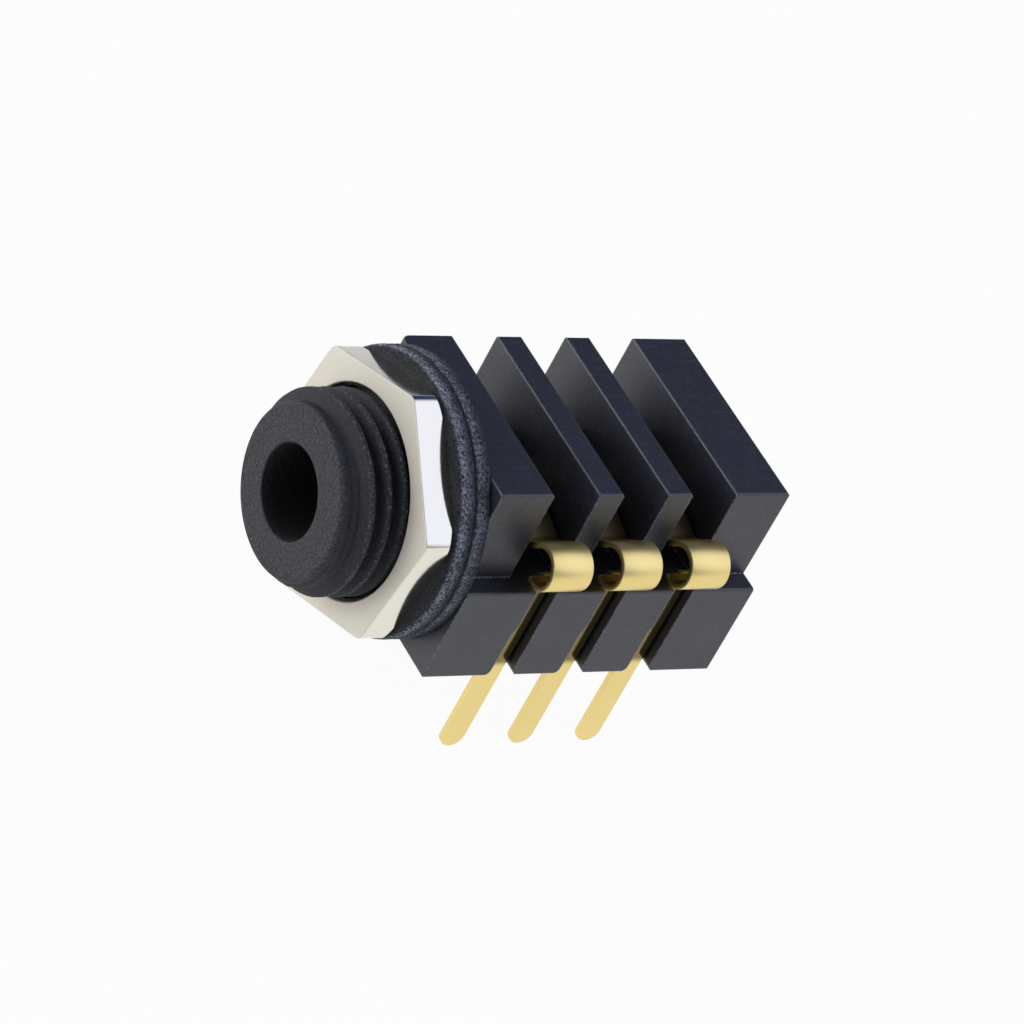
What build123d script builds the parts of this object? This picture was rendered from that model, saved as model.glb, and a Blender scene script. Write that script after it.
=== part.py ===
"""Panel and board mounting jack socket with a threaded bush and three spring contacts.

The socket lies as it is soldered to a board: the plug enters along +Y through the bush,
the pins point down along -Z and the loops of the springs stand out on the +X side.
The origin is on the bore axis, in the plane where the moulding meets its washers.
All sizes are in millimetres.
"""
import os
from math import cos, radians, sin, tan

from build123d import *

# Bush, which carries the panel thread
bush_diameter = 7.96
bush_length = 4.45
bush_lead_in = 0.23
bush_lead_in_depth = 0.25
nose_diameter = 6.9
nose_length = 0.86
nose_edge_radius = 0.14

# Bore for the plug
bore_diameter = 3.6
bore_depth = 17.3
bore_mouth_chamfer = 0.13

# Body: four fins above a solid block, which ends on the plane of the bore axis
fin_count = 4
fin_thickness = 1.16
fin_gap = 2.14
front_fin_thickness = 2.43
rear_fin_thickness = 2.6
fin_top = 4.23
fin_near_side = 4.74
far_side = 4.25
block_near_side = 5.65
block_bottom = 4.4
moulded_edge = 0.1
front_far_radius = 0.4

# Slots that hold the contact tails
tail_clearance = 0.1
tail_skin = 0.43
slot_step_start = 1.76
slot_step_end = 2.3
slot_step = 0.12
slot_mouth_radius = 0.35
mouth_reach = 0.6

# Spring contacts, stamped from strip and bent
strip_thickness = 0.25
strip_width = 1.85
tail_width = 0.75
pin_width = 1.05
pin_length = 4.25
contact_setback = 0.06
tail_bend_radius = 0.3
loop_outer_radius = 0.94
loop_centre_height = 1.4
loop_overhang = 0.02
loop_sweep = 220
arm_bend_radius = 0.5
arm_slope = 15
arm_crest_reach = 1.3
arm_touch_height = 1.73
arm_tip_reach = 1.2
arm_tip_rise = 0.45

# Nut and washers
thread_clearance = 0.05
nut_wall = 0.87
nut_thickness = 1.3
nut_corner_radius = 0.5
nut_turned_by = 21.3
nut_mouth_chamfer = 0.17
nut_edge_chamfer = 0.2
nut_edge_slope = 30
washer_diameter = 11.26
washer_thickness = 0.7
washer_clearance = 0.14

# Places worked out from the sizes above
bush_radius = bush_diameter / 2
nose_radius = nose_diameter / 2
bore_radius = bore_diameter / 2
mouth_distance = bush_length + nose_length
gap_count = fin_count - 1
pitch = fin_gap + fin_thickness
first_gap_centre = front_fin_thickness + fin_gap / 2
gap_centres = [first_gap_centre + i * pitch for i in range(gap_count)]
body_length = front_fin_thickness + gap_count * fin_gap + (gap_count - 1) * fin_thickness
body_length = body_length + rear_fin_thickness
tail_face = block_near_side - tail_skin
tail_back = tail_face - strip_thickness
slot_width = tail_width + 2 * tail_clearance
contact_centres = [y + contact_setback for y in gap_centres]
# Each tail is flush with the rear edge of its pin
tail_shift = (pin_width - tail_width) / 2
nut_seat = 2 * washer_thickness
nut_hole_radius = bush_radius + thread_clearance
nut_inner_reach = nut_hole_radius + nut_wall

os.makedirs("parts", exist_ok=True)

# Housing: one black moulding of bush, block and fins
with BuildPart() as housing:
    # Block and fins in one section, with the ledge on the pin side
    with BuildSketch(Plane.XZ):
        with BuildLine():
            Polyline(
                (-far_side, -block_bottom),
                (block_near_side, -block_bottom),
                (block_near_side, 0),
                (fin_near_side, 0),
                (fin_near_side, fin_top),
                (-far_side, fin_top),
                close=True,
            )
        make_face()
    extrude(amount=-body_length)
    # The front corner on the far side is rounder than the rest
    upright_edges = housing.edges().filter_by(Axis.Z)
    far_front_edge = upright_edges.group_by(Axis.Y)[0].sort_by(Axis.X)[0]
    fillet(far_front_edge, radius=front_far_radius)
    # Softened edges along the ledge and the underside
    long_edges = housing.edges().filter_by(Axis.Y)
    underside_edges = long_edges.group_by(Axis.Z)[0]
    ledge_edge = long_edges.group_by(Axis.X)[-1].sort_by(Axis.Z)[-1]
    fillet([*underside_edges, ledge_edge], radius=moulded_edge)
    # Gaps between the fins, open at the top and on both sides
    with BuildSketch(Plane.XY):
        with Locations(*[(0, y) for y in gap_centres]):
            Rectangle(2 * block_near_side, fin_gap)
    extrude(amount=fin_top, mode=Mode.SUBTRACT)
    # Slots for the contact tails, each a little wider towards its lower end
    with BuildSketch(Plane.YZ.offset(tail_back)) as slots:
        for y in contact_centres:
            slot_front = y + tail_shift - slot_width / 2
            slot_rear = y + tail_shift + slot_width / 2
            with BuildLine():
                Polyline(
                    (slot_front, 0),
                    (slot_front, -slot_step_start),
                    (slot_front - slot_step, -slot_step_end),
                    (slot_front - slot_step, -block_bottom),
                    (slot_front - slot_step - mouth_reach, -block_bottom),
                    (slot_front - slot_step - mouth_reach, -block_bottom - mouth_reach),
                    (slot_rear + mouth_reach, -block_bottom - mouth_reach),
                    (slot_rear + mouth_reach, -block_bottom),
                    (slot_rear, -block_bottom),
                    (slot_rear, 0),
                    close=True,
                )
            make_face()
        # Rounded lower mouths, at the middle two of each slot's four corners on the underside
        corners = slots.vertices().group_by(Axis.Y)[1].sort_by(Axis.X)
        fillet([v for i, v in enumerate(corners) if i % 4 in (1, 2)], radius=slot_mouth_radius)
    extrude(amount=block_near_side, mode=Mode.SUBTRACT)
    # Softened edges around the top of every fin
    top_edges = housing.faces().filter_by(Axis.Z).group_by(Axis.Z)[-1].edges()
    fillet(top_edges, radius=moulded_edge)
    # Bush and nose, turned about the bore axis
    with BuildSketch(Plane.XY):
        with BuildLine():
            Polyline(
                (0, front_fin_thickness / 2),
                (0, -mouth_distance),
                (nose_radius, -mouth_distance),
                (nose_radius, -bush_length),
                (bush_radius - bush_lead_in, -bush_length),
                (bush_radius, -bush_length + bush_lead_in_depth),
                (bush_radius, front_fin_thickness / 2),
                close=True,
            )
        nose_sketch = make_face()
        nose_corner = nose_sketch.vertices().group_by(Axis.Y)[0].sort_by(Axis.X)[-1]
        fillet(nose_corner, radius=nose_edge_radius)
    revolve(axis=Axis.Y)
    # Blind bore with a chamfered mouth
    with Locations(Plane.XZ.offset(mouth_distance)):
        Hole(radius=bore_radius, depth=bore_depth)
    mouth_edge = housing.edges().filter_by(GeomType.CIRCLE).group_by(Axis.Y)[0].sort_by(SortBy.RADIUS)[0]
    chamfer(mouth_edge, length=bore_mouth_chamfer)
housing.part.label = "housing"
export_step(housing.part, "parts/housing.step")

# Rear washer, which lies against the moulding
with BuildPart() as rear_washer:
    with BuildSketch(Plane.XZ):
        Circle(washer_diameter / 2)
        Circle(bush_radius + washer_clearance, mode=Mode.SUBTRACT)
    extrude(amount=washer_thickness)
rear_washer.part.label = "rear_washer"
export_step(rear_washer.part, "parts/rear_washer.step")

# Front washer, which lies under the nut
with BuildPart() as front_washer:
    with BuildSketch(Plane.XZ.offset(washer_thickness)):
        Circle(washer_diameter / 2)
        Circle(bush_radius + washer_clearance, mode=Mode.SUBTRACT)
    extrude(amount=washer_thickness)
front_washer.part.label = "front_washer"
export_step(front_washer.part, "parts/front_washer.step")

# Thin hexagon nut, with its corners rounded and turned down on the washer side
with BuildPart() as hex_nut:
    with BuildSketch(Plane.XZ.offset(nut_seat)):
        nut_outline = RegularPolygon(
            radius=nut_inner_reach,
            side_count=6,
            major_radius=False,
            rotation=nut_turned_by,
        )
        fillet(nut_outline.vertices(), radius=nut_corner_radius)
        Circle(nut_hole_radius, mode=Mode.SUBTRACT)
    extrude(amount=nut_thickness)
    hole_edges = hex_nut.edges().filter_by(GeomType.CIRCLE).sort_by(SortBy.RADIUS)[-2:]
    chamfer(hole_edges, length=nut_mouth_chamfer)
    # Conical cut that takes the corners down
    corner_factor = 1 / cos(radians(30))
    corner_reach = nut_inner_reach * corner_factor - nut_corner_radius * (corner_factor - 1)
    cone_start = corner_reach - nut_edge_chamfer / tan(radians(nut_edge_slope))
    cone_end = corner_reach + nut_edge_chamfer / tan(radians(nut_edge_slope))
    with BuildSketch(Plane.XY):
        with BuildLine():
            Polyline(
                (cone_start, -nut_seat),
                (cone_end, -nut_seat - 2 * nut_edge_chamfer),
                (cone_end, -nut_seat),
                close=True,
            )
        make_face()
    revolve(axis=Axis.Y, mode=Mode.SUBTRACT)
hex_nut.part.label = "hex_nut"
export_step(hex_nut.part, "parts/hex_nut.step")

# Places on the middle line of the bent strip
tail_x = tail_face - strip_thickness / 2
loop_x = block_near_side + loop_overhang
loop_radius = loop_outer_radius - strip_thickness / 2
loop_bottom = loop_centre_height - loop_radius
leave_angle = radians(loop_sweep - 90)
leave_x = loop_x + loop_radius * cos(leave_angle)
leave_z = loop_centre_height + loop_radius * sin(leave_angle)
fall_slope = -cos(leave_angle) / sin(leave_angle)
rise_slope = tan(radians(arm_slope))
crest_z = arm_touch_height + rise_slope * arm_crest_reach / 2
# The knee is where the falling strip meets the line that rises to the crest
crest_run = leave_x - arm_crest_reach
knee_run = (leave_z - crest_z + rise_slope * crest_run) / (fall_slope + rise_slope)
knee_x = leave_x - knee_run
knee_z = leave_z - fall_slope * knee_run

# One contact about its own middle plane: pin, tail, loop and spring arm
with BuildPart() as contact:
    # Loop and arm, at the full width of the strip
    with BuildSketch(Plane.XZ):
        with BuildLine() as spring_line:
            Line((tail_x + tail_bend_radius, loop_bottom), (loop_x, loop_bottom))
            CenterArc((loop_x, loop_centre_height), loop_radius, -90, loop_sweep)
            FilletPolyline(
                (leave_x, leave_z),
                (knee_x, knee_z),
                (arm_crest_reach, crest_z),
                (0, arm_touch_height),
                (-arm_tip_reach, arm_touch_height + arm_tip_rise),
                radius=arm_bend_radius,
            )
        trace(line_width=strip_thickness)
    extrude(amount=strip_width / 2, both=True)
    # Narrow tail, bent down into its slot
    with BuildSketch(Plane.XZ):
        with BuildLine() as tail_line:
            FilletPolyline(
                (loop_x, loop_bottom),
                (tail_x, loop_bottom),
                (tail_x, -block_bottom),
                radius=tail_bend_radius,
            )
        trace(line_width=strip_thickness)
    tail = extrude(amount=tail_width / 2, both=True, mode=Mode.PRIVATE)
    with Locations((0, tail_shift, 0)):
        add(tail)
    # Solder pin with a round tip
    with BuildSketch(Plane.YZ.offset(tail_back)):
        with Locations((0, -block_bottom - (pin_length - pin_width / 2) / 2)):
            Rectangle(pin_width, pin_length - pin_width / 2)
        with Locations((0, -block_bottom - pin_length + pin_width / 2)):
            Circle(pin_width / 2)
    extrude(amount=strip_thickness)

# The three contacts, one in each gap
with BuildPart() as sleeve_contact:
    with Locations((0, contact_centres[0], 0)):
        add(contact.part)
sleeve_contact.part.label = "sleeve_contact"
export_step(sleeve_contact.part, "parts/sleeve_contact.step")

with BuildPart() as ring_contact:
    with Locations((0, contact_centres[1], 0)):
        add(contact.part)
ring_contact.part.label = "ring_contact"
export_step(ring_contact.part, "parts/ring_contact.step")

with BuildPart() as tip_contact:
    with Locations((0, contact_centres[2], 0)):
        add(contact.part)
tip_contact.part.label = "tip_contact"
export_step(tip_contact.part, "parts/tip_contact.step")
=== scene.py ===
"""Looks of the jack socket: thread, rough washers, plated metal and moulded plastic.

The pieces are modelled in millimetres and scaled to metres when they are finished.
"""
from math import atan2, cos, floor, hypot, pi, radians, sin, tan

import bmesh
import bpy
from mathutils import Matrix, Vector, noise


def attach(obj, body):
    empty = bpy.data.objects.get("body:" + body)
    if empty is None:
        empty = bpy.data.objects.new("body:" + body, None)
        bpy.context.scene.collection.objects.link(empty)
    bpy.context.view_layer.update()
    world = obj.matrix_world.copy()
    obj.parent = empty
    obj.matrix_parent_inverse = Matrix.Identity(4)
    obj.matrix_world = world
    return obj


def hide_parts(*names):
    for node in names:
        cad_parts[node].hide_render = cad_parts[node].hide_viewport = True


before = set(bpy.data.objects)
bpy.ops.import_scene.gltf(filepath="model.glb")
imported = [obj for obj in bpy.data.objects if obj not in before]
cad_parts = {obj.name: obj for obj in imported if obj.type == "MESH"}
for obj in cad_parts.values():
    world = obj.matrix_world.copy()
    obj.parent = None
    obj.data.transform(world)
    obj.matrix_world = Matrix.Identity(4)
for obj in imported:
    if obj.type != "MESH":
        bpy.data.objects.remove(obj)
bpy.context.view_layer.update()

bl_info = {
    "name": "Jack Socket Looks",
    "version": (1, 0, 0),
    "blender": (4, 5, 0),
    "location": "3D View > Sidebar > Jack Socket",
    "description": "Models and finishes the visible pieces of a panel jack socket",
    "category": "Object",
}

MM = 0.001
MICRON = 1e-6
BORE_AXIS = Vector((0, 1, 0))

# Sizes in mm that a piece shares with another or with its material
SEAM = -0.3
WASHER_THICKNESS = 0.7
LOOP_X = 5.67
LOOP_Z = 1.4

# Options that several nodes share
SMOOTH = {"interpolation_type": "SMOOTHSTEP"}
MULTIPLY = {"operation": "MULTIPLY"}
MAXIMUM = {"operation": "MAXIMUM"}
COLOURS = {"data_type": "RGBA"}


# Settings


class JackBushSettings(bpy.types.PropertyGroup):
    """Sizes of the threaded bush."""

    crest_radius: bpy.props.FloatProperty(
        name="Crest radius", description="Radius over the thread, mm", default=3.98, min=1)
    thread_pitch: bpy.props.FloatProperty(
        name="Thread pitch", description="Distance from crest to crest, mm", default=0.75, min=0.1)
    thread_depth: bpy.props.FloatProperty(
        name="Thread depth", description="From crest to root, mm", default=0.4, min=0.01)
    crest_flat: bpy.props.FloatProperty(
        name="Crest flat", description="Width of the flat on each crest, mm", default=0.17, min=0)
    nose_radius: bpy.props.FloatProperty(
        name="Nose radius", description="Radius of the plain nose, mm", default=3.45, min=1)
    bore_radius: bpy.props.FloatProperty(
        name="Bore radius", description="Radius of the bore, mm", default=1.8, min=0.5)


class JackContactSettings(bpy.types.PropertyGroup):
    """Sizes of the bent strip contacts."""

    thickness: bpy.props.FloatProperty(
        name="Thickness", description="Thickness of the strip, mm", default=0.25, min=0.05)
    strip_width: bpy.props.FloatProperty(
        name="Strip width", description="Width of loop and arm, mm", default=1.85, min=0.2)
    tail_width: bpy.props.FloatProperty(
        name="Tail width", description="Width of the tail in its slot, mm", default=0.75, min=0.2)
    pin_width: bpy.props.FloatProperty(
        name="Pin width", description="Width of the solder pin, mm", default=1.05, min=0.2)
    loop_radius: bpy.props.FloatProperty(
        name="Loop radius", description="Outer radius of the loop, mm", default=0.94, min=0.2)
    face_x: bpy.props.FloatProperty(
        name="Tail face", description="From the bore axis to the outer face of the tails, mm",
        default=5.22)
    first: bpy.props.FloatProperty(
        name="First contact", description="Middle of the first contact behind the shoulder, mm",
        default=3.56)
    spacing: bpy.props.FloatProperty(
        name="Spacing", description="Distance between contacts, mm", default=3.3)


class JackFinishSettings(bpy.types.PropertyGroup):
    """Colours of the finishes, as sRGB hex values."""

    moulding: bpy.props.StringProperty(
        name="Moulding", description="Black moulded polyester", default="#0e1018")
    nickel: bpy.props.StringProperty(
        name="Nickel", description="Nickel plate on the nut", default="#e4e0d4")
    gold: bpy.props.StringProperty(
        name="Gold", description="Gold plate on the contacts", default="#f2db92")
    fibre: bpy.props.StringProperty(
        name="Fibre", description="Vulcanised fibre of the washers", default="#111114")


class JackStageSettings(bpy.types.PropertyGroup):
    """Camera and light."""

    azimuth: bpy.props.FloatProperty(
        name="Azimuth", description="Camera turn about +Z from -Y", default=radians(44.353),
        subtype="ANGLE")
    elevation: bpy.props.FloatProperty(
        name="Elevation", description="Camera height angle", default=radians(33.777),
        subtype="ANGLE")
    roll: bpy.props.FloatProperty(
        name="Roll", description="Camera roll", default=radians(29.16), subtype="ANGLE")
    distance: bpy.props.FloatProperty(
        name="Distance", description="Camera distance", default=0.2144, unit="LENGTH")
    lens: bpy.props.FloatProperty(
        name="Lens", description="Focal length for a 36 mm sensor, mm", default=198.04, min=10)
    softbox: bpy.props.FloatProperty(
        name="Softbox", description="Radiance of the large softbox above and behind",
        default=1.12, min=0)
    fill: bpy.props.FloatProperty(
        name="Fill", description="Radiance of the soft light in front of the bush",
        default=2.8, min=0)


# Mesh helpers


def hex_colour(text):
    """Turns an sRGB hex value into a linear RGBA colour."""
    parts = [int(text[i:i + 2], 16) / 255 for i in (1, 3, 5)]
    return [c / 12.92 if c <= 0.04045 else ((c + 0.055) / 1.055) ** 2.4 for c in parts] + [1.0]


def settings(name):
    """One of the property groups of the scene."""
    return getattr(bpy.context.scene, name)


def finish_piece(bm, name, body, material, stands_for=(), sharp=32, flats=False):
    """Writes a mesh made in millimetres to an object that rides on a body of the frame.

    Edges bent by more than sharp degrees stay sharp, and flats keeps flat faces flat in shading.
    """
    bmesh.ops.scale(bm, vec=(MM, MM, MM), verts=bm.verts)
    for face in bm.faces:
        face.smooth = True
    for edge in bm.edges:
        edge.smooth = len(edge.link_faces) == 2 and edge.calc_face_angle(0) < radians(sharp)
    mesh = bpy.data.meshes.new(name)
    bm.to_mesh(mesh)
    bm.free()
    mesh.materials.append(material)
    piece = bpy.data.objects.new(name, mesh)
    bpy.context.scene.collection.objects.link(piece)
    if flats:
        # Shading of a flat face isn't bent by the rounded faces next to it
        weighted = piece.modifiers.new("flat_faces", "WEIGHTED_NORMAL")
        weighted.keep_sharp = True
    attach(piece, body)
    if stands_for:
        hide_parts(*stands_for)
    return piece


def merged_copy(node):
    """A mesh in millimetres from a node of the frame, with its loose triangles joined."""
    bm = bmesh.new()
    bm.from_mesh(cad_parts[node].data)
    bmesh.ops.scale(bm, vec=(1 / MM, 1 / MM, 1 / MM), verts=bm.verts)
    bmesh.ops.remove_doubles(bm, verts=bm.verts, dist=0.001)
    bmesh.ops.dissolve_limit(bm, angle_limit=radians(0.5), use_dissolve_boundaries=False,
                             verts=bm.verts, edges=bm.edges, delimit=set())
    return bm


def chain(bm, points):
    """A run of edges through points given as (distance from the bore axis, place along it)."""
    verts = [bm.verts.new((r, y, 0)) for r, y in points]
    for pair in zip(verts, verts[1:]):
        bm.edges.new(pair)
    return verts


def round_off(bm, geom, affect, offset, segments):
    """Rounds the corners of a profile, or the edges of a solid."""
    bmesh.ops.bevel(bm, geom=geom, affect=affect, offset=offset, segments=segments, profile=0.5,
                    material=-1)


def divide_outer_line(bm, radius, cuts):
    """Divides evenly the line of a profile that lies furthest from the bore axis."""
    outer = next(e for e in bm.edges if min(v.co.x for v in e.verts) > radius - 1e-4)
    bmesh.ops.subdivide_edges(bm, edges=[outer], cuts=cuts)


def turn_about_bore(bm, steps):
    """Spins everything in the mesh once about the bore axis and closes it."""
    bmesh.ops.spin(bm, geom=bm.verts[:] + bm.edges[:], cent=(0, 0, 0), axis=BORE_AXIS,
                   angle=2 * pi, steps=steps, use_merge=True)
    bmesh.ops.remove_doubles(bm, verts=bm.verts, dist=1e-4)
    bmesh.ops.recalc_face_normals(bm, faces=bm.faces)


def scale_across(vert, factor):
    """Moves a vertex straight towards the bore axis or away from it."""
    vert.co.x *= factor
    vert.co.z *= factor


def verts_in(geom):
    """The vertices among what an operator returns."""
    return [v for v in geom if isinstance(v, bmesh.types.BMVert)]


def edge_in(geom):
    """The first edge among what an operator returns."""
    return next(e for e in geom if isinstance(e, bmesh.types.BMEdge))


# Material helpers


def add_node(tree, kind, options, inputs):
    """Adds a node, sets its options, and sets or links its inputs."""
    node = tree.nodes.new(kind)
    for key, value in options.items():
        setattr(node, key, value)
    for key, value in inputs.items():
        if isinstance(value, bpy.types.NodeSocket):
            tree.links.new(value, node.inputs[key])
        else:
            node.inputs[key].default_value = value
    return node


def new_material(name):
    """An empty node material with its output."""
    material = bpy.data.materials.new(name)
    material.use_nodes = True
    tree = material.node_tree
    tree.nodes.clear()
    output = tree.nodes.new("ShaderNodeOutputMaterial")
    return material, tree, output


def per_mm(size):
    """Noise scale, in object coordinates, whose features are that many millimetres across."""
    return 1 / (size * MM)


def axis_distance(tree, place):
    """Distance of each point from the line along +Y through the origin that place counts from."""
    flat = add_node(tree, "ShaderNodeVectorMath", MULTIPLY, {0: place, 1: (1, 0, 1)}).outputs[0]
    return add_node(tree, "ShaderNodeVectorMath", {"operation": "LENGTH"}, {
        0: flat}).outputs["Value"]


# Moulded plastic


def painted_shade_behind_nose(tree, place, patches):
    """Keeps the pale patches to the face of the nose; fewer of them on the side behind it paint
    shade there.
    """
    face, side = -5.36 * MM, -4.7 * MM
    along = add_node(tree, "ShaderNodeSeparateXYZ", {}, {"Vector": place}).outputs["Y"]
    share = add_node(tree, "ShaderNodeMapRange", SMOOTH, {
        "Value": along, "From Min": face, "From Max": side, "To Min": 1.0,
        "To Max": 0.22}).outputs["Result"]
    return add_node(tree, "ShaderNodeMath", MULTIPLY, {0: patches, 1: share}).outputs[0]


def worn_and_sheened_edges(tree, place, rub_and_sheen, normal, edge_mm):
    """Rounds sharp edges a little, keeps the pale marks to them as wear and a painted highlight, and
    adds hair scratches.
    """
    flat = add_node(tree, "ShaderNodeNewGeometry", {}, {}).outputs["Normal"]
    rounded = add_node(tree, "ShaderNodeBevel", {"samples": 8}, {
        "Radius": edge_mm * MM}).outputs["Normal"]
    # Edge mask for the pale marks, which along the edges are wear and a painted highlight
    bent = add_node(tree, "ShaderNodeVectorMath", {"operation": "DOT_PRODUCT"}, {
        0: flat, 1: rounded}).outputs["Value"]
    bent = add_node(tree, "ShaderNodeMapRange", {}, {
        "Value": bent, "From Min": 0.997, "From Max": 0.94, "To Max": 0.8}).outputs["Result"]
    rub_and_sheen = add_node(tree, "ShaderNodeMath", MULTIPLY, {0: rub_and_sheen, 1: bent}).outputs[0]
    # The scratches run in two directions and are drawn 0.12 mm wide, coarser than real ones
    for turn in (0.62, 1.0):
        hairs = add_node(tree, "ShaderNodeMapping", {}, {
            "Vector": place, "Rotation": (0.1, 0.1, turn),
            "Scale": (1, 0.03, 1)}).outputs["Vector"]
        hairs = add_node(tree, "ShaderNodeTexNoise", {}, {
            "Vector": hairs, "Scale": per_mm(0.12), "Detail": 2.0}).outputs["Fac"]
        hairs = add_node(tree, "ShaderNodeMapRange", {}, {
            "Value": hairs, "From Min": 0.64, "From Max": 0.76,
            "To Max": 0.055}).outputs["Result"]
        rub_and_sheen = add_node(tree, "ShaderNodeMath", MAXIMUM, {0: rub_and_sheen, 1: hairs}).outputs[0]
    normal = add_node(tree, "ShaderNodeBevel", {"samples": 6}, {
        "Radius": edge_mm * MM, "Normal": normal}).outputs["Normal"]
    return rub_and_sheen, normal


def worn_crests(tree, place, rub_and_sheen, worn_from):
    """Keeps the pale marks to the crests of the thread, which the nut has worn."""
    crest = add_node(tree, "ShaderNodeMapRange", {}, {
        "Value": axis_distance(tree, place), "From Min": worn_from * MM,
        "From Max": (worn_from + 0.06) * MM, "To Max": 0.3}).outputs["Result"]
    rub_and_sheen = add_node(tree, "ShaderNodeMath", {"operation": "POWER"}, {0: rub_and_sheen, 1: 3.0}).outputs[0]
    return add_node(tree, "ShaderNodeMath", MULTIPLY, {0: rub_and_sheen, 1: crest}).outputs[0]


def dark_bore(tree, place, shade):
    """Blackens the wall of the bore, where little light finds its way."""
    bore, outside = 1.8 * MM, 1.95 * MM
    skin = add_node(tree, "ShaderNodeMapRange", {}, {
        "Value": axis_distance(tree, place), "From Min": bore,
        "From Max": outside}).outputs["Result"]
    return add_node(tree, "ShaderNodeMix", COLOURS, {
        0: skin, 6: hex_colour("#050508"), 7: shade}).outputs[2]


def black_polyester(name, colour, ior, roughness, grain, pale, mottle, edge_mm=0.0, worn_from=0.0):
    """Glass-filled polyester moulding: satin blue-black, with a fine grain from the tool.

    The IOR is matched to the sheen of the faces and may lie above the plastic's own. With edge_mm
    the edges get pale wear and a painted highlight, and with worn_from, a radius in mm, it is the
    skin of the bush, with painted shade on the side behind its nose and in its bore.
    """
    material, tree, output = new_material(name)
    place = add_node(tree, "ShaderNodeTexCoord", {}, {}).outputs["Object"]
    # Grain left by the eroded steel of the mould, with its size in mm and its depth in microns
    size, depth = grain
    skin = add_node(tree, "ShaderNodeTexNoise", {}, {
        "Vector": place, "Scale": per_mm(size), "Detail": 5.0, "Roughness": 0.65}).outputs["Fac"]
    # Slow waviness of a moulded face
    wave = add_node(tree, "ShaderNodeTexNoise", {}, {
        "Vector": place, "Scale": per_mm(2.2), "Detail": 2.0, "Roughness": 0.5}).outputs["Fac"]
    normal = add_node(tree, "ShaderNodeBump", {}, {
        "Height": skin, "Strength": 1.0, "Distance": depth * MICRON}).outputs["Normal"]
    normal = add_node(tree, "ShaderNodeBump", {}, {
        "Height": wave, "Strength": 1.0, "Distance": 10 * MICRON,
        "Normal": normal}).outputs["Normal"]
    # Glass ends near the skin make it patchy, drawn 0.1 mm across and coarser than real ones
    patches = add_node(tree, "ShaderNodeTexNoise", {}, {
        "Vector": place, "Scale": per_mm(0.1), "Detail": 4.0, "Roughness": 0.75}).outputs["Fac"]
    patches = add_node(tree, "ShaderNodeMapRange", {}, {
        "Value": patches, "From Min": 0.42, "From Max": 0.75, "To Max": mottle}).outputs["Result"]
    # On the bush, fewer pale patches behind the nose paint shade on its side
    if worn_from:
        patches = painted_shade_behind_nose(tree, place, patches)
    shade = add_node(tree, "ShaderNodeMix", COLOURS, {
        0: patches, 6: hex_colour(colour), 7: hex_colour(pale)}).outputs[2]
    # Pale specks where handling has rubbed the skin
    rub_and_sheen = add_node(tree, "ShaderNodeTexNoise", {}, {
        "Vector": place, "Scale": per_mm(0.11), "Detail": 4.0, "Roughness": 0.7}).outputs["Fac"]
    rub_and_sheen = add_node(tree, "ShaderNodeMapRange", {}, {
        "Value": rub_and_sheen, "From Min": 0.46, "From Max": 0.6}).outputs["Result"]
    if edge_mm:
        rub_and_sheen, normal = worn_and_sheened_edges(tree, place, rub_and_sheen, normal, edge_mm)
    if worn_from:
        rub_and_sheen = worn_crests(tree, place, rub_and_sheen, worn_from)
        shade = dark_bore(tree, place, shade)
    # Pale marks: rubbed specks, and along the edges a painted highlight as well as wear
    shade = add_node(tree, "ShaderNodeMix", COLOURS, {
        0: rub_and_sheen, 6: shade, 7: hex_colour("#9498a8")}).outputs[2]
    rough = add_node(tree, "ShaderNodeMapRange", {}, {
        "Value": wave, "To Min": roughness - 0.05, "To Max": roughness + 0.05}).outputs["Result"]
    shader = add_node(tree, "ShaderNodeBsdfPrincipled", {}, {
        "Base Color": shade, "Roughness": rough, "IOR": ior, "Normal": normal})
    tree.links.new(shader.outputs[0], output.inputs["Surface"])
    return material


# Washer fibre and plated metal


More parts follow.
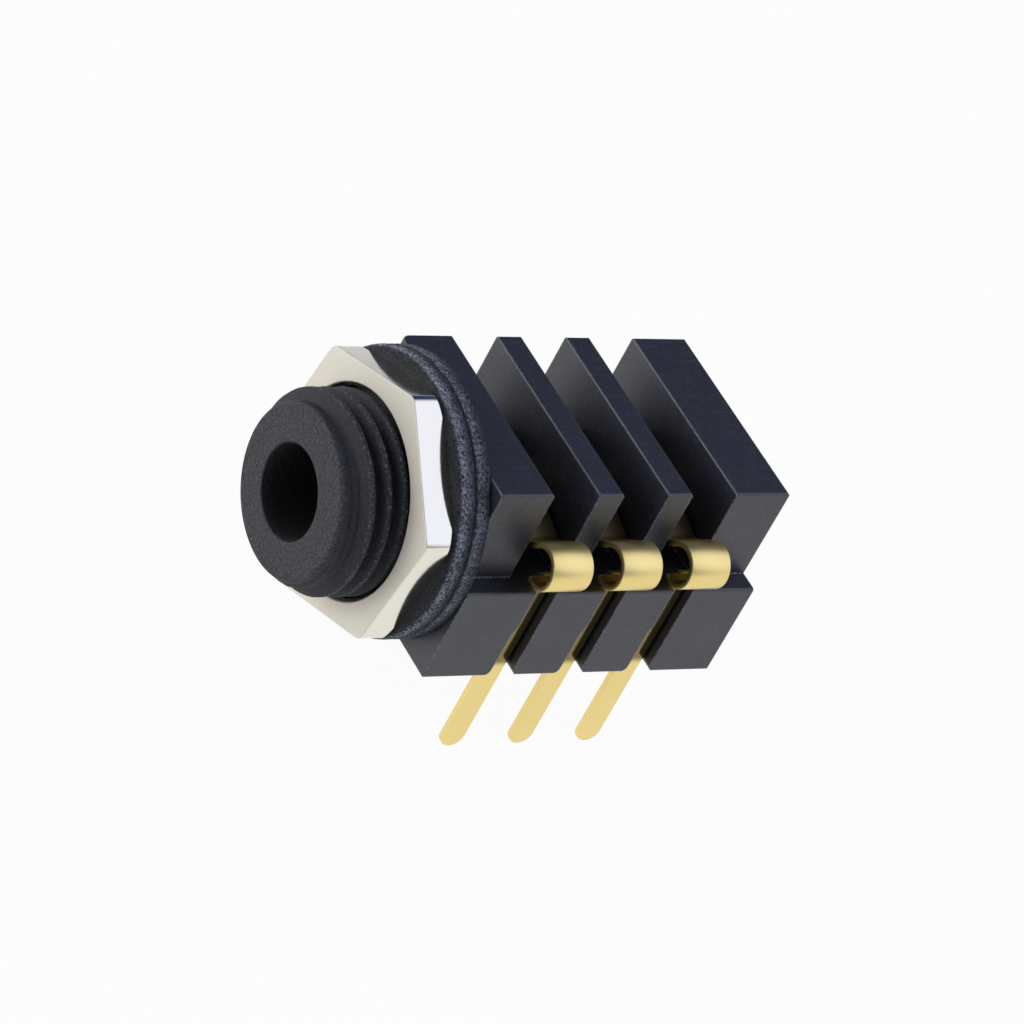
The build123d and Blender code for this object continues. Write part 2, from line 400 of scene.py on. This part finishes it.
def vulcanised_fibre(name, colour, torn_share):
    """Vulcanised fibre, punched from sheet: matt black faces and a torn rim of pale fibre ends."""
    material, tree, output = new_material(name)
    place = add_node(tree, "ShaderNodeTexCoord", {}, {}).outputs["Object"]
    # Distance from the bore axis tells the torn rim from the flat faces
    rim = add_node(tree, "ShaderNodeMapRange", SMOOTH, {
        "Value": axis_distance(tree, place), "From Min": 5.42 * MM,
        "From Max": 5.58 * MM}).outputs["Result"]
    # The punch tears fibres up along the front edge of each washer; right at that edge they are left
    # out, which paints shade into the crease where the washer meets the next part
    along = add_node(tree, "ShaderNodeSeparateXYZ", {}, {"Vector": place}).outputs["Y"]
    across = add_node(tree, "ShaderNodeMath", {"operation": "DIVIDE"}, {
        0: along, 1: WASHER_THICKNESS * MM}).outputs[0]
    across = add_node(tree, "ShaderNodeMath", {"operation": "FRACT"}, {0: across}).outputs[0]
    front = add_node(tree, "ShaderNodeMapRange", SMOOTH, {
        "Value": across, "From Min": 0.3, "From Max": 0.9, "To Min": 1.0,
        "To Max": 0.15}).outputs["Result"]
    groove_shade = add_node(tree, "ShaderNodeMapRange", SMOOTH, {
        "Value": across, "From Min": 0.04, "From Max": 0.24}).outputs["Result"]
    front = add_node(tree, "ShaderNodeMath", MULTIPLY, {0: front, 1: groove_shade}).outputs[0]
    # Fibres are drawn 0.1 mm thick, coarser than real ones, so that they show
    fibres = add_node(tree, "ShaderNodeTexNoise", {}, {
        "Vector": place, "Scale": per_mm(0.1), "Detail": 5.0, "Roughness": 0.72,
        "Distortion": 0.3}).outputs["Fac"]
    tufts = add_node(tree, "ShaderNodeTexNoise", {}, {
        "Vector": place, "Scale": per_mm(0.5), "Detail": 3.0, "Roughness": 0.6}).outputs["Fac"]
    pale = add_node(tree, "ShaderNodeMapRange", {}, {
        "Value": fibres, "From Min": 0.4, "From Max": 0.68}).outputs["Result"]
    tufts = add_node(tree, "ShaderNodeMapRange", {}, {
        "Value": tufts, "From Min": 0.3, "From Max": 0.65, "To Min": 0.45}).outputs["Result"]
    torn = add_node(tree, "ShaderNodeMath", MULTIPLY, {0: rim, 1: front}).outputs[0]
    torn = add_node(tree, "ShaderNodeMapRange", {}, {
        "Value": torn, "To Min": 0.1, "To Max": torn_share}).outputs["Result"]
    for share in (tufts, torn):
        pale = add_node(tree, "ShaderNodeMath", MULTIPLY, {0: pale, 1: share}).outputs[0]
    shade = add_node(tree, "ShaderNodeMix", COLOURS, {
        0: pale, 6: hex_colour(colour), 7: hex_colour("#c3c7d1")}).outputs[2]
    bump = add_node(tree, "ShaderNodeBump", {}, {
        "Height": fibres, "Strength": 1.0, "Distance": 22 * MICRON}).outputs["Normal"]
    shader = add_node(tree, "ShaderNodeBsdfPrincipled", {}, {
        "Base Color": shade, "Roughness": 0.8, "IOR": 1.4, "Normal": bump})
    tree.links.new(shader.outputs[0], output.inputs["Surface"])
    return material


def nickel_plate(name, colour, front):
    """Nickel on brass hexagon bar: matt on the turned face and mirror bright on the drawn flats."""
    material, tree, output = new_material(name)
    place = add_node(tree, "ShaderNodeTexCoord", {}, {}).outputs["Object"]
    # Lines that tumbling and shearing leave, longer along the axis, and drawn 0.09 mm wide,
    # coarser than real ones
    lines = add_node(tree, "ShaderNodeMapping", {}, {
        "Vector": place, "Scale": (1, 0.15, 1)}).outputs["Vector"]
    scuff = add_node(tree, "ShaderNodeTexNoise", {}, {
        "Vector": lines, "Scale": per_mm(0.09), "Detail": 4.0, "Roughness": 0.6}).outputs["Fac"]
    cloud = add_node(tree, "ShaderNodeTexNoise", {}, {
        "Vector": place, "Scale": per_mm(1.5), "Detail": 3.0, "Roughness": 0.55}).outputs["Fac"]
    bump = add_node(tree, "ShaderNodeBump", {}, {
        "Height": scuff, "Strength": 1.0, "Distance": 0.7 * MICRON}).outputs["Normal"]
    edge = add_node(tree, "ShaderNodeBevel", {"samples": 6}, {
        "Radius": 0.06 * MM, "Normal": bump}).outputs["Normal"]
    matt = add_node(tree, "ShaderNodeMapRange", {}, {
        "Value": cloud, "To Min": 0.68, "To Max": 0.78}).outputs["Result"]
    bright = add_node(tree, "ShaderNodeMapRange", {}, {
        "Value": cloud, "To Min": 0.08, "To Max": 0.15}).outputs["Result"]
    along = add_node(tree, "ShaderNodeSeparateXYZ", {}, {"Vector": place}).outputs["Y"]
    turned = add_node(tree, "ShaderNodeMapRange", {}, {
        "Value": along, "From Min": (front + 0.06) * MM,
        "From Max": (front + 0.02) * MM}).outputs["Result"]
    rough = add_node(tree, "ShaderNodeMix", {}, {0: turned, 2: bright, 3: matt}).outputs[0]
    shader = add_node(tree, "ShaderNodeBsdfPrincipled", {}, {
        "Base Color": hex_colour(colour), "Metallic": 1.0, "Roughness": rough, "Normal": edge})
    tree.links.new(shader.outputs[0], output.inputs["Surface"])
    return material


def gold_plate(name, colour):
    """Hard gold over nickel on rolled bronze strip: bright, with faint rolling lines."""
    material, tree, output = new_material(name)
    place = add_node(tree, "ShaderNodeTexCoord", {}, {}).outputs["Object"]
    # Rolling lines run along the strip, so they change only across its width, and they are
    # drawn 0.1 mm apart, coarser than real ones
    lines = add_node(tree, "ShaderNodeMapping", {}, {
        "Vector": place, "Scale": (0.05, 1, 0.05)}).outputs["Vector"]
    rolled = add_node(tree, "ShaderNodeTexNoise", {}, {
        "Vector": lines, "Scale": per_mm(0.1), "Detail": 3.0, "Roughness": 0.6}).outputs["Fac"]
    cloud = add_node(tree, "ShaderNodeTexNoise", {}, {
        "Vector": place, "Scale": per_mm(0.8), "Detail": 3.0, "Roughness": 0.5}).outputs["Fac"]
    bump = add_node(tree, "ShaderNodeBump", {}, {
        "Height": rolled, "Strength": 1.0, "Distance": 2 * MICRON}).outputs["Normal"]
    rough = add_node(tree, "ShaderNodeMapRange", {}, {
        "Value": cloud, "To Min": 0.34, "To Max": 0.42}).outputs["Result"]
    # In the slots the strip stays smooth, and there, inside the loops and in the gaps between the
    # fins brown is painted in as shade, where the strip lies deep
    spot = add_node(tree, "ShaderNodeSeparateXYZ", {}, {"Vector": place})
    above = add_node(tree, "ShaderNodeMapRange", SMOOTH, {
        "Value": spot.outputs["Z"], "From Min": -4.4 * MM,
        "From Max": -4.0 * MM}).outputs["Result"]
    below = add_node(tree, "ShaderNodeMapRange", SMOOTH, {
        "Value": spot.outputs["Z"], "From Min": 0.25 * MM,
        "From Max": -0.15 * MM}).outputs["Result"]
    slot = add_node(tree, "ShaderNodeMath", MULTIPLY, {0: above, 1: below}).outputs[0]
    rough = add_node(tree, "ShaderNodeMix", {}, {0: slot, 2: rough, 3: 0.12}).outputs[0]
    from_loop = add_node(tree, "ShaderNodeVectorMath", {"operation": "SUBTRACT"}, {
        0: place, 1: (LOOP_X * MM, 0, LOOP_Z * MM)}).outputs[0]
    inside = add_node(tree, "ShaderNodeMapRange", {}, {
        "Value": axis_distance(tree, from_loop), "From Min": 0.74 * MM,
        "From Max": 0.7 * MM}).outputs["Result"]
    gap_shade = add_node(tree, "ShaderNodeMapRange", SMOOTH, {
        "Value": spot.outputs["X"], "From Min": 5.1 * MM, "From Max": 4.5 * MM,
        "To Max": 0.7}).outputs["Result"]
    painted_shade = add_node(tree, "ShaderNodeMath", MAXIMUM, {0: slot, 1: inside}).outputs[0]
    painted_shade = add_node(tree, "ShaderNodeMath", MAXIMUM, {0: painted_shade, 1: gap_shade}).outputs[0]
    painted_shade = add_node(tree, "ShaderNodeMath", MULTIPLY, {0: painted_shade, 1: 0.8}).outputs[0]
    # Brown painted shade in the slots, inside the loops and between the fins
    shade = add_node(tree, "ShaderNodeMix", COLOURS, {
        0: painted_shade, 6: hex_colour(colour), 7: hex_colour("#4a3a1c")}).outputs[2]
    shader = add_node(tree, "ShaderNodeBsdfPrincipled", {}, {
        "Base Color": shade, "Metallic": 1.0, "Roughness": rough, "Normal": bump})
    tree.links.new(shader.outputs[0], output.inputs["Surface"])
    return material


# Body and bush of the moulding


class JACK_OT_body(bpy.types.Operator):
    """Makes the finned block of the moulding, without its bush"""

    bl_idname = "jack_socket.make_body"
    bl_label = "Make body"

    def execute(self, context):
        bm = merged_copy("housing")
        # The bush is a piece of its own from the seam that the washers hide
        bmesh.ops.bisect_plane(bm, geom=bm.verts[:] + bm.edges[:] + bm.faces[:], dist=1e-5,
                               plane_co=(0, SEAM, 0), plane_no=BORE_AXIS, clear_inner=True)
        rims = [e for e in bm.edges if e.is_boundary]
        if not rims:
            raise RuntimeError("The seam doesn't cut the housing")
        bmesh.ops.bridge_loops(bm, edges=rims)
        material = black_polyester(
            "Moulded glass-filled polyester", settings("jack_finish").moulding, ior=1.72,
            roughness=0.45, grain=(0.12, 7.0), pale="#4b5168", mottle=0.42, edge_mm=0.1)
        finish_piece(bm, "moulded_body", "base", material, ["housing"], flats=True)
        return {"FINISHED"}


def bush_radius_at(along, angle, bush):
    """Distance of the bush's skin from the bore axis, in mm, over thread and plain nose."""
    # A crest passes this place, and the thread is right-handed
    crest_y, crest_angle = -4.22, radians(41.8)
    lead = (along - crest_y) / bush.thread_pitch + (angle - crest_angle) / (2 * pi)
    from_crest = (lead - floor(lead + 0.5)) * bush.thread_pitch
    # Crests and roots both sink to the nose, the crests over a longer stretch
    crest_end, crest_stretch = -4.4, 0.57
    root_end, root_stretch = -4.6, 0.2
    crest_out = min(1, max(0, (crest_end - (along - from_crest)) / crest_stretch))
    crest = bush.crest_radius + (bush.nose_radius - bush.crest_radius) * crest_out
    root_out = min(1, max(0, (root_end - along) / root_stretch))
    root = bush.crest_radius - bush.thread_depth
    root += (bush.nose_radius - root) * root_out
    flank_angle = radians(30)
    flank = max(0, abs(from_crest) - bush.crest_flat / 2) / tan(flank_angle)
    return max(root, crest - flank)


class JACK_OT_bush(bpy.types.Operator):
    """Makes the bush with its thread, nose and bore"""

    bl_idname = "jack_socket.make_bush"
    bl_label = "Make bush"

    def execute(self, context):
        bush = settings("jack_bush")
        # The face of the nose, the rounding of its rim, and the radius of its faint dome
        mouth, lip, dome = -5.31, 0.17, 75.0
        dome_rings = (3.1, 2.8, 2.5, 2.2)
        # How far the mouth of the bore widens, and how deep in
        widening = ((0.13, 0), (0.08, 0.04), (0, 0.5))
        rim = bush.bore_radius + widening[0][0]
        nose_back = mouth + lip + 0.05
        bm = bmesh.new()
        verts = chain(bm, [
            (bush.crest_radius, SEAM),
            (bush.crest_radius, mouth + lip + 0.08),
            (bush.nose_radius, nose_back),
            (bush.nose_radius, mouth + 0.05),
            *((r, mouth + (r * r - rim * rim) / (2 * dome)) for r in dome_rings),
            *((bush.bore_radius + out, mouth + deep) for out, deep in widening),
            (bush.bore_radius, SEAM),
            (bush.crest_radius, SEAM),
        ])
        nose_rim = verts[3]
        round_off(bm, [nose_rim], "VERTICES", lip - 0.001, 6)
        divide_outer_line(bm, bush.crest_radius, 110)
        turn_about_bore(bm, 220)
        uneven = 0.015
        for vert in bm.verts:
            reach = hypot(vert.co.x, vert.co.z)
            if reach < bush.crest_radius - 0.01:
                continue
            radius = bush_radius_at(vert.co.y, atan2(vert.co.z, vert.co.x), bush)
            radius -= uneven * abs(noise.noise(vert.co * 3.0))
            scale_across(vert, radius / reach)
        material = black_polyester(
            "Grained glass-filled polyester", settings("jack_finish").moulding, ior=1.5,
            roughness=0.66, grain=(0.18, 70.0), pale="#656565", mottle=0.72, worn_from=3.9)
        finish_piece(bm, "threaded_bush", "base", material)
        return {"FINISHED"}


# Washers and nut


class JACK_OT_washers(bpy.types.Operator):
    """Makes the two punched fibre washers with torn rims"""

    bl_idname = "jack_socket.make_washers"
    bl_label = "Make washers"

    def execute(self, context):
        hole, rim, back_roll = 4.12, 5.63, 0.06
        # The front washer is torn more, and the seed gives each its own torn rim
        for node, body, back, seed, front_roll, torn_share in (
                ("rear_washer", "base", 0, 3.1, 0.14, 0.7),
                ("front_washer", "washer", -WASHER_THICKNESS, 17.7, 0.3, 1.0)):
            front = back - WASHER_THICKNESS
            bm = bmesh.new()
            verts = chain(bm, [(hole, back), (rim, back), (rim, front), (hole, front), (hole, back)])
            # The punch rolls the front edge over and leaves the back edge nearly sharp
            for corner, roll in ((verts[1], back_roll), (verts[2], front_roll)):
                round_off(bm, [corner], "VERTICES", roll, 5)
            divide_outer_line(bm, rim, 11)
            turn_about_bore(bm, 540)
            for vert in bm.verts:
                reach = hypot(vert.co.x, vert.co.z)
                if reach > rim - 0.1:
                    place = Vector((vert.co.x, vert.co.y + seed, vert.co.z))
                    tufts, fibres = noise.noise(place * 1.7), noise.noise(place * 9)
                    torn = 0.045 * abs(tufts) + 0.035 * abs(fibres)
                    scale_across(vert, 1 - torn / reach)
            material = vulcanised_fibre("Vulcanised fibre, " + node.replace("_", " "),
                                        settings("jack_finish").fibre, torn_share)
            finish_piece(bm, "fibre_" + node, body, material, [node])
        return {"FINISHED"}


class JACK_OT_nut(bpy.types.Operator):
    """Makes the plated hexagon nut"""

    bl_idname = "jack_socket.make_nut"
    bl_label = "Make nut"

    def execute(self, context):
        bm = merged_copy("hex_nut")
        # Tumbling takes down the edges of the front face, which lie well outside the hole
        front = min(v.co.y for v in bm.verts)
        outside_hole = 4.6
        rim = [e for e in bm.edges
               if all(v.co.y < front + 1e-3 and hypot(v.co.x, v.co.z) > outside_hole
                      for v in e.verts)]
        if not rim:
            raise RuntimeError("The nut has no edges round its front face")
        round_off(bm, rim, "EDGES", 0.04, 4)
        material = nickel_plate("Nickel plate on brass", settings("jack_finish").nickel, front)
        finish_piece(bm, "plated_nut", "nut", material, ["hex_nut"], sharp=25,
                     flats=True)
        return {"FINISHED"}


# Contacts, with angles in degrees and sizes in mm


LOOP_SWEEP = 220
TAIL_BEND = 0.3
ARM_BEND = 0.5
ARM_SLOPE = 15
ARM_CREST_X = 1.3
ARM_TOUCH_Z = 1.73
ARM_TIP_X = -1.2
ARM_TIP_RISE = 0.45
BLOCK_UNDERSIDE = -4.4
PIN_TIP = -8.65
EDGE_ROUNDING = 0.035


def bend(bm, edge, centre, turn, steps):
    """Spins an edge about a line along +Y through centre and returns the last edge."""
    last = bmesh.ops.spin(bm, geom=list(edge.verts) + [edge], cent=centre, axis=BORE_AXIS,
                          angle=turn, steps=steps, use_merge=False)["geom_last"]
    return edge_in(last)


def follow(bm, edge, corners, radius, steps=8):
    """Draws an edge along straight runs and round the bends at the corners, in the plane y = 0."""
    points = [Vector((x, 0, z)) for x, z in corners]
    here = points[0]
    for before, corner, after in zip(points, points[1:], points[2:] + [None]):
        way = (corner - before).normalized()
        turn, cut = 0, 0
        if after is not None:
            turn = way.xz.angle_signed((after - corner).xz.normalized())
            cut = radius * tan(abs(turn) / 2)
        stop = corner - way * cut
        moved = bmesh.ops.extrude_edge_only(bm, edges=[edge])["geom"]
        bmesh.ops.translate(bm, vec=stop - here, verts=verts_in(moved))
        edge = edge_in(moved)
        here = stop
        if after is not None:
            side = Vector((-way.z, 0, way.x)) * (-1 if turn > 0 else 1)
            edge = bend(bm, edge, here + side * radius, turn, steps)
            here = corner + (after - corner).normalized() * cut
    return edge


def thicken(bm, by):
    """Gives flat faces their thickness, and rounds the sheared edges."""
    new = bmesh.ops.extrude_face_region(bm, geom=bm.faces[:])["geom"]
    bmesh.ops.translate(bm, vec=by, verts=verts_in(new))
    bmesh.ops.recalc_face_normals(bm, faces=bm.faces)
    sheared = [e for e in bm.edges if e.calc_face_angle(0) > radians(60)]
    round_off(bm, sheared, "EDGES", EDGE_ROUNDING, 2)


def widen(bm, width):
    """Gives a flat ribbon in the plane y = 0 its width, half to each side."""
    bmesh.ops.translate(bm, vec=(0, -width / 2, 0), verts=bm.verts)
    thicken(bm, (0, width, 0))


def first_edge(bm, x, z, half):
    """The strip's thickness as one upright edge, from which a run is drawn."""
    return bm.edges.new([bm.verts.new((x, 0, z + s)) for s in (-half, half)])


def tail_place(size):
    """Half the strip's thickness, the middle plane of the tail, and that of the loop's foot."""
    half = size.thickness / 2
    return half, size.face_x - half, LOOP_Z - (size.loop_radius - half)


def loop_and_arm(size):
    """The wide strip: out over the ledge, round the loop, down into the gap and up the arm."""
    half, tail_x, low = tail_place(size)
    radius = size.loop_radius - half
    leave = radians(LOOP_SWEEP - 90)
    leave_x, leave_z = LOOP_X + radius * cos(leave), LOOP_Z + radius * sin(leave)
    # The knee is where the falling strip meets the line that rises to the crest
    rise, fall = tan(radians(ARM_SLOPE)), -cos(leave) / sin(leave)
    crest_z = ARM_TOUCH_Z + rise * ARM_CREST_X / 2
    knee_run = (leave_z - crest_z + rise * (leave_x - ARM_CREST_X)) / (fall + rise)
    bm = bmesh.new()
    edge = first_edge(bm, tail_x + TAIL_BEND, low, half)
    edge = follow(bm, edge, [(tail_x + TAIL_BEND, low), (LOOP_X, low)], 0)
    edge = bend(bm, edge, (LOOP_X, 0, LOOP_Z), -radians(LOOP_SWEEP), 40)
    follow(bm, edge, [
        (leave_x, leave_z),
        (leave_x - knee_run, leave_z - fall * knee_run),
        (ARM_CREST_X, crest_z),
        (0, ARM_TOUCH_Z),
        (ARM_TIP_X, ARM_TOUCH_Z + ARM_TIP_RISE),
    ], ARM_BEND)
    widen(bm, size.strip_width)
    return bm


def tail_bend(size):
    """The narrow bend from the loop's foot down into the slot."""
    half, tail_x, low = tail_place(size)
    bm = bmesh.new()
    edge = first_edge(bm, tail_x + TAIL_BEND, low, half)
    # The bend reaches a little into the blade, and is a hair tighter than its two runs
    reach, ease = 0.02, 0.001
    follow(bm, edge, [
        (tail_x + TAIL_BEND, low),
        (tail_x, low),
        (tail_x, low - TAIL_BEND - reach),
    ], TAIL_BEND - ease)
    widen(bm, size.tail_width)
    aside = size.pin_width / 2 - size.tail_width / 2
    bmesh.ops.translate(bm, vec=(0, aside, 0), verts=bm.verts)
    return bm


def blade(size):
    """Tail and pin, one flat blade with a shoulder at the block's underside and a round tip."""
    half, tail_x, low = tail_place(size)
    wide, back, top = size.pin_width / 2, tail_x - half, low - TAIL_BEND + 0.04
    neck = wide - size.tail_width
    bm = bmesh.new()
    outline = [bm.verts.new((back, y, z)) for y, z in (
        (wide, top),
        (neck, top),
        (neck, BLOCK_UNDERSIDE + 0.45),
        (0.08 - wide, BLOCK_UNDERSIDE + 0.3),
        (-wide, BLOCK_UNDERSIDE + 0.1),
        (-wide, PIN_TIP + wide))]
    for pair in zip(outline, outline[1:]):
        bm.edges.new(pair)
    bmesh.ops.spin(bm, geom=outline[-1:], cent=(back, 0, PIN_TIP + wide), axis=(1, 0, 0),
                   angle=pi, steps=20, use_merge=False)
    bm.verts.ensure_lookup_table()
    bm.edges.new((bm.verts[-1], outline[0]))
    bmesh.ops.contextual_create(bm, geom=bm.edges[:])
    thicken(bm, (size.thickness, 0, 0))
    return bm


class JACK_OT_contacts(bpy.types.Operator):
    """Makes the three bent strip contacts"""

    bl_idname = "jack_socket.make_contacts"
    bl_label = "Make contacts"

    def execute(self, context):
        size = settings("jack_contact")
        material = gold_plate("Hard gold plate on bronze", settings("jack_finish").gold)
        strip = bpy.data.meshes.new("contact_strip")
        joined = bmesh.new()
        for bm in (loop_and_arm(size), tail_bend(size), blade(size)):
            bm.to_mesh(strip)
            bm.free()
            joined.from_mesh(strip)
        bpy.data.meshes.remove(strip)
        for place, node in enumerate(("sleeve_contact", "ring_contact", "tip_contact")):
            bm = joined.copy()
            along = size.first + place * size.spacing
            bmesh.ops.translate(bm, vec=(0, along, 0), verts=bm.verts)
            finish_piece(bm, "gold_" + node, "base", material, [node], flats=True)
        joined.free()
        return {"FINISHED"}


# Stage


def soft_light(tree, room, direction, way, inner, outer, colour):
    """Adds to the room a round soft light seen in one direction, with half angles in degrees."""
    facing = add_node(tree, "ShaderNodeVectorMath", {"operation": "DOT_PRODUCT"}, {
        0: direction, 1: Vector(way).normalized()}).outputs["Value"]
    inside = add_node(tree, "ShaderNodeMapRange", SMOOTH, {
        "Value": facing, "From Min": cos(radians(outer)),
        "From Max": cos(radians(inner))}).outputs["Result"]
    return add_node(tree, "ShaderNodeMix", {"data_type": "RGBA", "blend_type": "ADD"}, {
        0: inside, 6: room, 7: colour}).outputs[2]


def seen_directly(tree):
    """1 for rays from the camera, a mirror or a clear piece, and 0 for light that is scattered."""
    path = add_node(tree, "ShaderNodeLightPath", {}, {})
    both = add_node(tree, "ShaderNodeMath", MAXIMUM, {
        0: path.outputs["Is Camera Ray"], 1: path.outputs["Is Glossy Ray"]}).outputs[0]
    return add_node(tree, "ShaderNodeMath", MAXIMUM, {
        0: both, 1: path.outputs["Is Transmission Ray"]}).outputs[0]


def lay_floor(scene):
    """A pale card just under the pins, which shows white and keeps the socket's shadow."""
    half_size, below_pins, white_share = 1.5, -8.66 * MM, 0.95
    bm = bmesh.new()
    bmesh.ops.create_grid(bm, x_segments=1, y_segments=1, size=half_size)
    bmesh.ops.translate(bm, vec=(0, 0, below_pins), verts=bm.verts)
    mesh = bpy.data.meshes.new("pale_floor")
    bm.to_mesh(mesh)
    bm.free()
    material, tree, output = new_material("White card")
    card = add_node(tree, "ShaderNodeBsdfDiffuse", {}, {"Color": hex_colour("#f4f4f4")}).outputs[0]
    glow = add_node(tree, "ShaderNodeEmission", {}, {
        "Color": (1, 1, 1, 1), "Strength": 1.0}).outputs[0]
    share = add_node(tree, "ShaderNodeMath", MULTIPLY, {
        0: seen_directly(tree), 1: white_share}).outputs[0]
    mixed = add_node(tree, "ShaderNodeMixShader", {}, {0: share, 1: card, 2: glow}).outputs[0]
    tree.links.new(mixed, output.inputs["Surface"])
    mesh.materials.append(material)
    floor_piece = bpy.data.objects.new("pale_floor", mesh)
    scene.collection.objects.link(floor_piece)


def light_room(scene, stage):
    """A dim room with a pale sweep low down and three soft lights, which the camera sees white."""
    world = bpy.data.worlds.new("Room")
    scene.world = world
    world.use_nodes = True
    tree = world.node_tree
    tree.nodes.clear()
    direction = add_node(tree, "ShaderNodeTexCoord", {}, {}).outputs["Generated"]
    height = add_node(tree, "ShaderNodeSeparateXYZ", {}, {"Vector": direction}).outputs["Z"]
    low = add_node(tree, "ShaderNodeMapRange", SMOOTH, {
        "Value": height, "From Min": 0.45, "From Max": 0.02}).outputs["Result"]
    dim, sweep = (0.038, 0.05, 0.125, 1), (0.32, 0.34, 0.39, 1)
    room = add_node(tree, "ShaderNodeMix", COLOURS, {0: low, 6: dim, 7: sweep}).outputs[2]
    soft, fill, side = stage.softbox, stage.fill, 0.5 * stage.fill
    # Above and behind, in front of the bush, and to its left
    for way, inner, outer, colour in (
            ((0.38, 0.594, 0.71), 20, 52, (soft * 0.96, soft, soft * 1.14, 1)),
            ((-0.3, -0.93, 0.18), 15, 42, (fill, fill, fill, 1)),
            ((-0.86, -0.5, 0.1), 15, 40, (side, side, side, 1))):
        room = soft_light(tree, room, direction, way, inner, outer, colour)
    path = add_node(tree, "ShaderNodeLightPath", {}, {})
    seen = add_node(tree, "ShaderNodeMix", COLOURS, {
        0: path.outputs["Is Camera Ray"], 6: room, 7: (1, 1, 1, 1)}).outputs[2]
    glow = add_node(tree, "ShaderNodeBackground", {}, {"Color": seen, "Strength": 1.0})
    output = tree.nodes.new("ShaderNodeOutputWorld")
    tree.links.new(glow.outputs[0], output.inputs["Surface"])


def place_camera(scene, stage):
    """The camera at the photographed angle, aimed beside the origin as the picture is framed."""
    aim_right, aim_up = 4.1028 * MM, -0.7849 * MM
    a, e, r = stage.azimuth, stage.elevation, stage.roll
    back = Vector((sin(a) * cos(e), -cos(a) * cos(e), sin(e)))
    level = Vector((cos(a), sin(a), 0))
    upright = Vector((-sin(a) * sin(e), cos(a) * sin(e), cos(e)))
    right = level * cos(r) + upright * sin(r)
    up = upright * cos(r) - level * sin(r)
    lens = bpy.data.cameras.new("camera")
    lens.lens = stage.lens
    lens.sensor_width = 36
    lens.clip_start = 0.001
    lens.clip_end = 10
    camera = bpy.data.objects.new("camera", lens)
    place = back * stage.distance + right * aim_right + up * aim_up
    turn = Matrix((right, up, back)).transposed()
    camera.matrix_world = Matrix.Translation(place) @ turn.to_4x4()
    scene.collection.objects.link(camera)
    scene.camera = camera


class JACK_OT_stage(bpy.types.Operator):
    """Sets the pale floor, the soft light and the camera"""

    bl_idname = "jack_socket.set_stage"
    bl_label = "Set stage"

    def execute(self, context):
        stage, scene = settings("jack_stage"), bpy.context.scene
        lay_floor(scene)
        light_room(scene, stage)
        place_camera(scene, stage)
        scene.view_settings.view_transform = "Standard"
        return {"FINISHED"}


# Panel and registration


class JACK_PT_panel(bpy.types.Panel):
    """The socket's steps in the sidebar"""

    bl_idname = "JACK_PT_panel"
    bl_label = "Jack Socket"
    bl_space_type = "VIEW_3D"
    bl_region_type = "UI"
    bl_category = "Jack Socket"

    def draw(self, context):
        for step in STEPS:
            self.layout.operator(step.bl_idname)


STEPS = (JACK_OT_body, JACK_OT_bush, JACK_OT_washers, JACK_OT_nut, JACK_OT_contacts, JACK_OT_stage)
GROUPS = {
    "jack_bush": JackBushSettings,
    "jack_contact": JackContactSettings,
    "jack_finish": JackFinishSettings,
    "jack_stage": JackStageSettings,
}


def register():
    for group in GROUPS.values():
        bpy.utils.register_class(group)
    for step in STEPS:
        bpy.utils.register_class(step)
    bpy.utils.register_class(JACK_PT_panel)
    for name, group in GROUPS.items():
        setattr(bpy.types.Scene, name, bpy.props.PointerProperty(type=group))


def unregister():
    for name in GROUPS:
        delattr(bpy.types.Scene, name)
    bpy.utils.unregister_class(JACK_PT_panel)
    for step in reversed(STEPS):
        bpy.utils.unregister_class(step)
    for group in reversed(list(GROUPS.values())):
        bpy.utils.unregister_class(group)


def main():
    register()
    bpy.ops.jack_socket.make_body()
    bpy.ops.jack_socket.make_bush()
    bpy.ops.jack_socket.make_washers()
    bpy.ops.jack_socket.make_nut()
    bpy.ops.jack_socket.make_contacts()
    bpy.ops.jack_socket.set_stage()


if __name__ == "__main__":
    main()
